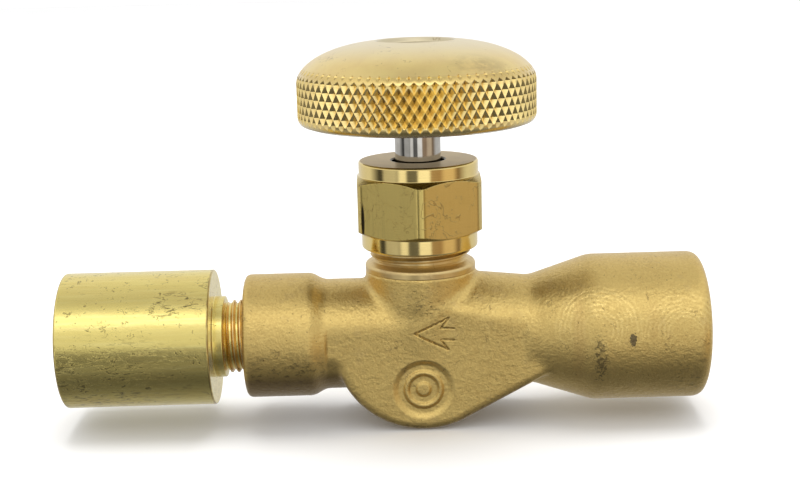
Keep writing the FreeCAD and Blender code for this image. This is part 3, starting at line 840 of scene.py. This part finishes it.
def turned_nut_brass():
    """The packing nut: bright turned collars, duller drawn flats with streaks and stains."""
    n = Nodes("nut_brass")
    collar = n.near_stem(8.36, 0.06)
    off_collar = n.rest(collar)
    top = n.times(n.near_stem(8.0, 0.15), n.ramp(n.height(), 24.3, 24.6))
    across = n.across()
    # Painted light: the flats right of the stem are a little brighter and more golden than those left of it.
    flat = n.mix(n.ramp(across, 0.5, 1.0), (0.58, 0.45, 0.145), (0.61, 0.465, 0.17))
    cloud = n.ramp(n.noise(3.0, 4, 0.6), 0.4, 0.72)
    flat = n.mix(n.times(cloud, 0.3), flat, (0.52, 0.40, 0.13))
    lines = n.noise(0.45, 3, 0.6, (1.0, 1.0, 0.04), offset=4.0)
    streaky = n.times(n.ramp(lines, 0.54, 0.66), n.ramp(across, -1.0, 1.0, 0.42, 0.08))
    flat = n.mix(streaky, flat, (0.46, 0.36, 0.12))
    marks = n.most(n.scratches(4.2, 0.008, 0.44, 40.0), n.scratches(2.0, 0.010, 0.58, 52.0, (1, 1, 0.6)))
    flat = n.mix(n.times(marks, 0.5), flat, (0.30, 0.20, 0.07))
    streak = n.near((-7.75, -5.0, 17.2), 0.2, 0.1, (0.9, 0.45, 0.09))
    flat = n.mix(streak, flat, (0.04, 0.03, 0.015))
    colour = n.mix(collar, flat, n.mix(cloud, (0.80, 0.63, 0.26), (0.74, 0.57, 0.23)))
    # Painted shade: the top face under the handwheel is a darker brass, standing for the wheel's dark
    # underside that it reflects.
    colour = n.mix(top, colour, n.mix(cloud, (0.56, 0.40, 0.15), (0.48, 0.34, 0.13)))
    # Painted shade: the bore round the stem and its rim are nearly black.
    colour = n.mix(n.near_stem(3.8, 0.15), colour, (0.09, 0.07, 0.04))
    turning = n.noise(0.1, 2, 0.6, (0.02, 0.02, 1.0))
    rough = n.sum(n.ramp(collar, 0.0, 1.0, 0.24, 0.10), n.times(top, 0.22))
    normal = n.bump(turning, 0.006)
    normal = n.bump(n.times(lines, off_collar), 0.014, 0.7, normal)
    normal = n.bump(n.times(marks, off_collar), 0.02, 0.8, normal)
    return n.finish(colour, rough, normal)


def machined_brass(name, base, stain, roughness, turning):
    """Brass off the lathe: fine rings round the stem axis, and faint stains."""
    n = Nodes(name)
    blotch = n.ramp(n.noise(3.0, 4, 0.6), 0.4, 0.72)
    colour = n.mix(blotch, base, stain)
    rings = n.noise(0.14, 2, 0.6, (0.02, 0.02, 1.0))
    dirt = n.ramp(n.noise(1.1, 5, 0.7, (1, 1, 0.6), distortion=1.2, offset=9.0), 0.60, 0.70)
    colour = n.mix(n.times(dirt, 0.35), colour, (0.20, 0.13, 0.04))
    rough = n.ramp(blotch, 0.0, 1.0, roughness, roughness + 0.1)
    return n.finish(colour, rough, n.bump(rings, 0.012 * turning))


def handwheel_brass():
    """Satin dome with dust, stains and fine scratches, paler towards its top as dust and painted sheen, with
    a greyer recess as painted light; brighter knurl, browner down in its pits and darker on its bottom rim
    as painted shade.
    """
    n = Nodes("handwheel_brass")
    height = n.height()
    on_dome = n.ramp(height, 37.1, 37.7)
    cloud = n.ramp(n.noise(4.0, 4, 0.6), 0.35, 0.7)
    colour = n.mix(cloud, (0.84, 0.66, 0.27), (0.79, 0.60, 0.25))
    # Paler towards the top of the dome: partly dust, partly painted sheen standing for the pale reflection
    # of the room behind.
    colour = n.mix(n.ramp(height, 38.6, 40.9, 0.0, 0.75), colour, (0.81, 0.70, 0.43))
    # Painted light: the recess is a greyer, less golden brass, standing for its washed-out bright look.
    recess = n.times(n.near_stem(5.5, 0.1), n.ramp(height, 39.8, 40.2))
    colour = n.mix(n.times(recess, 0.7), colour, (0.62, 0.56, 0.42))
    dust = n.ramp(n.noise(0.7, 5, 0.75, offset=6.0), 0.62, 0.70)
    colour = n.mix(n.times(dust, 0.3), colour, (0.35, 0.24, 0.10))
    lines = n.scratches(3.2, 0.010, 0.55, 61.0)
    colour = n.mix(n.times(lines, on_dome, 0.5), colour, (0.30, 0.20, 0.08))
    worn_side = n.near((9.0, -12.0, 38.2), 0.6, 4.0, (0.55, 1, 1.6))
    dark = n.ramp(n.noise(2.2, 5, 0.7, (0.6, 0.6, 1.6), offset=8.0), 0.32, 0.62)
    colour = n.mix(n.times(dark, worn_side, 0.5), colour, (0.33, 0.25, 0.13))
    # Painted shade: the knurl's pits are a browner brass, the colour of their shaded facets.
    pit_shade = n.times(n.near_stem(15.95, 0.35), n.rest(on_dome))
    colour = n.mix(n.times(pit_shade, 0.35), colour, (0.55, 0.36, 0.08))
    # Painted shade: the wheel's bottom rim, facing down, is a dark olive brass.
    colour = n.mix(n.ramp(height, 29.9, 30.6, 0.8, 0.0), colour, (0.36, 0.31, 0.16))
    rough = n.ramp(on_dome, 0.0, 1.0, 0.20, 0.30)
    fine = n.bump(n.noise(0.2, 2, 0.6, (0.05, 0.05, 1.0)), 0.006)
    normal = n.bump(n.noise(0.5, 3, 0.6, offset=2.0), 0.012, 0.7, fine)
    return n.finish(colour, rough, normal, dust=0.15)


def drawn_brass():
    """Drawn bar: soft lengthwise lines, small dings and wandering dark scratches."""
    n = Nodes("drawn_brass")
    cloud = n.ramp(n.noise(6.0, 3, 0.6, (0.4, 1, 1)), 0.35, 0.7)
    colour = n.mix(cloud, (0.82, 0.68, 0.225), (0.78, 0.62, 0.21))
    streaks = n.noise(0.5, 4, 0.6, (0.05, 1, 1))
    colour = n.mix(n.ramp(streaks, 0.4, 0.75), colour, (0.86, 0.73, 0.27))
    lines = n.most(n.scratches(2.0, 0.016, 0.55, 71.0, (0.7, 1.2, 1.2)),
                   n.scratches(1.2, 0.024, 0.57, 83.0, (0.8, 1.2, 1.2)))
    marks = n.ramp(n.noise(1.1, 5, 0.74, (0.6, 2.0, 2.0), 0.8, 14.5), 0.54, 0.60)
    upper = n.near((-34.0, -6.6, 6.4), 0.9, 1.8, (0.42, 1, 1))
    spot = n.near((-41.0, -8.0, -5.2), 0.6, 1.4)
    lower = n.times(n.near((-43.0, -8.5, -4.0), 3.0, 6.0, (0.6, 1, 1)), 0.7)
    marks = n.times(marks, n.most(upper, spot, lower))
    dark = n.most(n.times(lines, 0.65), n.times(marks, 0.85))
    colour = n.mix(dark, colour, (0.13, 0.10, 0.035))
    across = n.across()
    end_rim = n.fall(across, ADAPTER_END + 0.12, ADAPTER_END + 0.3)
    shoulder_rim = n.times(n.ramp(across, ADAPTER_SHOULDER - 0.3, ADAPTER_SHOULDER - 0.22),
                           n.fall(across, ADAPTER_SHOULDER - 0.04, ADAPTER_SHOULDER))
    patchy = n.ramp(n.noise(1.5, 3, offset=19.0), 0.3, 0.6, 0.4, 1.0)
    colour = n.mix(n.times(n.most(end_rim, shoulder_rim), patchy, 0.7), colour, (0.30, 0.20, 0.08))
    rough = n.ramp(streaks, 0.3, 0.7, 0.25, 0.20)
    normal = n.bump(streaks, 0.012, 0.6)
    normal = n.bump(n.noise(0.9, 3, 0.6, offset=3.0), 0.03, 0.6, normal)
    normal = n.bump(n.times(dark, -1.0), 0.02, 0.8, normal)
    return n.finish(colour, rough, normal, dust=0.10)


def stainless():
    """Ground rod: very fine rings and a faint cloudiness."""
    n = Nodes("stainless_steel")
    rings = n.noise(0.12, 3, 0.6, (0.03, 0.03, 1.0))
    cloud = n.ramp(n.noise(1.5, 3), 0.3, 0.7)
    colour = n.mix(cloud, (0.50, 0.48, 0.44), (0.42, 0.40, 0.36))
    rough = n.ramp(rings, 0.3, 0.7, 0.05, 0.09)
    return n.finish(colour, rough, n.bump(rings, 0.002))


def moulded(name, base, shade, size, roughness):
    """Plastic or rubber: a soft mottling whose patches are about size millimetres."""
    n = Nodes(name)
    colour = n.mix(n.ramp(n.noise(size, 3), 0.3, 0.7), base, shade)
    rough = n.ramp(n.noise(size / 3, 2), 0.3, 0.7, roughness, roughness + 0.12)
    return n.finish(colour, rough, n.bump(n.noise(size / 6, 3), 0.01), metallic=0.0)


# ------------------------ assembly

def paint(piece, material):
    piece.data.materials.clear()
    piece.data.materials.append(material)


def assemble():
    forged = forged_brass()
    gland_brass = machined_brass("turned_brass", (0.78, 0.62, 0.25), (0.70, 0.53, 0.22), 0.17, 0.7)
    nut_brass = turned_nut_brass()
    wheel = handwheel_brass()
    drawn = drawn_brass()
    steel = stainless()
    ptfe = moulded("ptfe", (0.86, 0.86, 0.83), (0.78, 0.78, 0.75), 1.0, 0.5)
    rubber = moulded("nitrile_rubber", (0.03, 0.03, 0.03), (0.05, 0.05, 0.048), 0.6, 0.55)
    thread_brass = machined_brass("thread_brass", (0.84, 0.62, 0.26), (0.74, 0.52, 0.22), 0.2, 0.5)
    neck_brass = machined_brass("neck_brass", (0.70, 0.53, 0.24), (0.56, 0.41, 0.19), 0.34, 0.8)

    made = [
        (build_forging(), "valve", ["valve_body"], forged, "forged_brass"),
        (build_neck(), "valve", [], neck_brass, "forged_brass"),
        (build_neck_thread(), "valve", [], neck_brass, "forged_brass"),
        (build_port_thread("inlet_thread", INLET_END, -1), "valve", [], neck_brass, "forged_brass"),
        (build_nut(), "valve", ["packing_nut"], nut_brass, "turned_brass"),
        (build_adapter(), "valve", ["outlet_adapter"], drawn, "drawn_brass"),
        (build_adapter_thread(), "valve", [], thread_brass, "drawn_brass"),
        (build_port_thread("outlet_thread", ADAPTER_END, 1), "valve", [], thread_brass, "drawn_brass"),
        (build_stem(), "stem_and_handwheel", ["stem"], steel, "stainless_steel"),
        (build_stem_thread(), "stem_and_handwheel", [], steel, "stainless_steel"),
        (build_handwheel(), "stem_and_handwheel", ["handwheel"], wheel, "handwheel_brass"),
    ]
    for piece, body, nodes, material, slot in made:
        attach(piece, body)
        if nodes:
            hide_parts(*nodes)
        paint(piece, material)
    kept = {
        "gland_follower": gland_brass, "upper_packing_ring": ptfe, "lower_packing_ring": ptfe,
        "packing_washer": steel, "stem_o_ring": rubber, "stem_backup_ring": ptfe, "handwheel_screw": steel,
    }
    for node, material in kept.items():
        paint(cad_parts[node], material)


# ------------------------ studio

CAMERA_ELEVATION = 12.21
CAMERA_YAW = 0.47
CAMERA_ROLL = 1.5
CAMERA_LENS = 62.22375
CAMERA_SENSOR = 36.0
CAMERA_AT = (-4.339, -189.426, 54.175)
FLOOR_HALF = 1.5


def build_camera():
    e, yaw, roll = (math.radians(a) for a in (CAMERA_ELEVATION, CAMERA_YAW, CAMERA_ROLL))
    forward = Vector((math.sin(yaw) * math.cos(e), math.cos(yaw) * math.cos(e), -math.sin(e)))
    right = forward.cross(Vector((0, 0, 1))).normalized()
    up = right.cross(forward)
    right, up = (math.cos(roll) * right - math.sin(roll) * up, math.sin(roll) * right + math.cos(roll) * up)
    camera = bpy.data.cameras.new("camera")
    camera.sensor_width = CAMERA_SENSOR
    camera.lens = CAMERA_LENS
    camera.clip_start = 0.005
    piece = bpy.data.objects.new("camera", camera)
    turn = Matrix((right, up, -forward)).transposed().to_4x4()
    piece.matrix_world = Matrix.Translation(Vector(place(CAMERA_AT))) @ turn
    bpy.context.scene.collection.objects.link(piece)
    bpy.context.scene.camera = piece


def build_floor():
    mesh = bpy.data.meshes.new("floor")
    corners = [(FLOOR_HALF * i, FLOOR_HALF * j, FLOOR_Z) for i, j in ((-1, -1), (1, -1), (1, 1), (-1, 1))]
    mesh.from_pydata(corners, [], [(0, 1, 2, 3)])
    floor = bpy.data.objects.new("floor", mesh)
    bpy.context.scene.collection.objects.link(floor)
    material = bpy.data.materials.new("floor")
    material.use_nodes = True
    shader = material.node_tree.nodes["Principled BSDF"]
    shader.inputs["Base Color"].default_value = (0.93, 0.93, 0.93, 1)
    shader.inputs["Roughness"].default_value = 0.9
    shader.inputs["Specular IOR Level"].default_value = 0.1
    floor.data.materials.append(material)
    floor.visible_glossy = False


class World:
    """The world's node tree. Colours are greys or (r, g, b)."""

    def __init__(self):
        world = bpy.data.worlds.new("studio")
        bpy.context.scene.world = world
        world.use_nodes = True
        world.node_tree.nodes.clear()
        self.make = world.node_tree.nodes.new
        self.join = world.node_tree.links.new

    def link(self, source, target):
        if isinstance(source, (int, float, tuple)):
            target.default_value = source
        else:
            self.join(source, target)

    def calculate(self, operation, a, b=0.0):
        node = self.make("ShaderNodeMath")
        node.operation = operation
        self.link(a, node.inputs[0])
        self.link(b, node.inputs[1])
        return node.outputs[0]

    def ramp(self, value, stops, low, high):
        """Colour by angle: each stop is (angle, colour)."""
        share = self.calculate("DIVIDE", self.calculate("SUBTRACT", value, low), high - low)
        node = self.make("ShaderNodeValToRGB")
        elements = node.color_ramp.elements
        for i, (angle, colour) in enumerate(stops):
            position = (angle - low) / (high - low)
            element = elements[i] if i < 2 else elements.new(position)
            element.position = position
            colour = (colour,) * 3 if isinstance(colour, (int, float)) else colour
            element.color = (*colour, 1)
        self.link(share, node.inputs[0])
        return node.outputs["Color"]

    def blend(self, factor, a, b, how="MIX"):
        node = self.make("ShaderNodeMix")
        node.data_type = "RGBA"
        node.blend_type = how
        self.link(factor, node.inputs["Factor"])
        self.link(a, node.inputs["A"])
        self.link(b, node.inputs["B"])
        return node.outputs["Result"]


def build_world():
    """A white room as the metal sees it. In front there is a soft box above the camera, then a lighter
    band with upright darker and lighter strips near the table, then the dark table edge. To either
    side the soft box is weaker and the table darker, and behind the valve everything is plain and pale.
    Angles are in degrees; azimuth 0 is the camera's side."""
    w = World()
    split = w.make("ShaderNodeSeparateXYZ")
    w.link(w.make("ShaderNodeTexCoord").outputs["Generated"], split.inputs[0])
    turn = w.calculate("ARCTAN2", split.outputs["X"], w.calculate("MULTIPLY", split.outputs["Y"], -1.0))
    azimuth = w.calculate("MULTIPLY", turn, 180 / math.pi)
    away = w.calculate("ABSOLUTE", azimuth)
    elevation = w.calculate("MULTIPLY", w.calculate("ARCSINE", split.outputs["Z"]), 180 / math.pi)
    front = w.ramp(elevation, [
        (-90, 0.24), (-78, 0.13), (-60, 0.11), (-48, 0.15), (-36, 0.26), (-24, 0.37), (-12, 0.54), (0, 0.84),
        (22, 0.88), (34, 1.05), (42, 1.8), (53, 1.8), (62, 0.85), (74, 0.62), (90, 0.66)], -90, 90)
    beside = w.ramp(elevation, [
        (-90, 0.2), (-62, 0.17), (-44, 0.24), (-30, 0.42), (-12, 0.60), (0, 0.82), (22, 0.85), (34, 0.95),
        (42, 1.2), (53, 1.2), (62, 0.85), (74, 0.62), (90, 0.66)], -90, 90)
    around = w.ramp(elevation, [
        (-90, 0.18), (-60, 0.42), (-30, 0.62), (-5, 0.85), (8, 0.9), (45, 0.95), (65, 0.8),
        (90, 0.66)], -90, 90)
    cream, beige, amber = (1.25, 1.0, 0.72), (0.6, 0.5, 0.4), (0.8, 0.6, 0.42)
    warm, dim_warm = (tuple(level * c for c in (1.0, 0.70, 0.46)) for level in (0.7, 0.42))
    strips = w.ramp(azimuth, [
        (-110, 0.9), (-100, 0.25), (-90, 0.10), (-76, 0.12), (-69, 0.95), (-48, 1.0), (-42, 0.8), (-36, 1.8),
        (-26, 1.8), (-22, 0.3), (-4, 0.34), (-1, 2.1), (19, 2.1), (23, amber), (40, warm), (50, cream),
        (68, cream), (80, dim_warm), (93, beige), (104, 0.9), (115, 1.1)], -180, 180)
    near_table = w.ramp(elevation, [(-33, 0.0), (-22, 1.0), (-5, 1.0), (1, 0.0)], -90, 90)
    front = w.blend(w.ramp(away, [(20, 0.0), (48, 1.0)], 0, 180), front, beside)
    front = w.blend(near_table, front, w.blend(1.0, front, strips, "MULTIPLY"))
    room = w.blend(w.ramp(away, [(82, 1.0), (108, 0.0)], 0, 180), around, front)
    seen = w.blend(w.make("ShaderNodeLightPath").outputs["Is Glossy Ray"], (1.05, 1.05, 1.05, 1), room)
    background = w.make("ShaderNodeBackground")
    w.link(seen, background.inputs["Color"])
    w.link(background.outputs[0], w.make("ShaderNodeOutputWorld").inputs["Surface"])


def build_lights():
    light = bpy.data.lights.new("overhead", "AREA")
    light.shape = "DISK"
    light.size = 0.5
    light.energy = 3.0
    piece = bpy.data.objects.new("overhead", light)
    piece.location = (STEM_X, 0.1, 0.7)
    piece.visible_glossy = False
    bpy.context.scene.collection.objects.link(piece)


assemble()
build_camera()
build_floor()
build_world()
build_lights()
bpy.context.scene.view_settings.view_transform = "Standard"
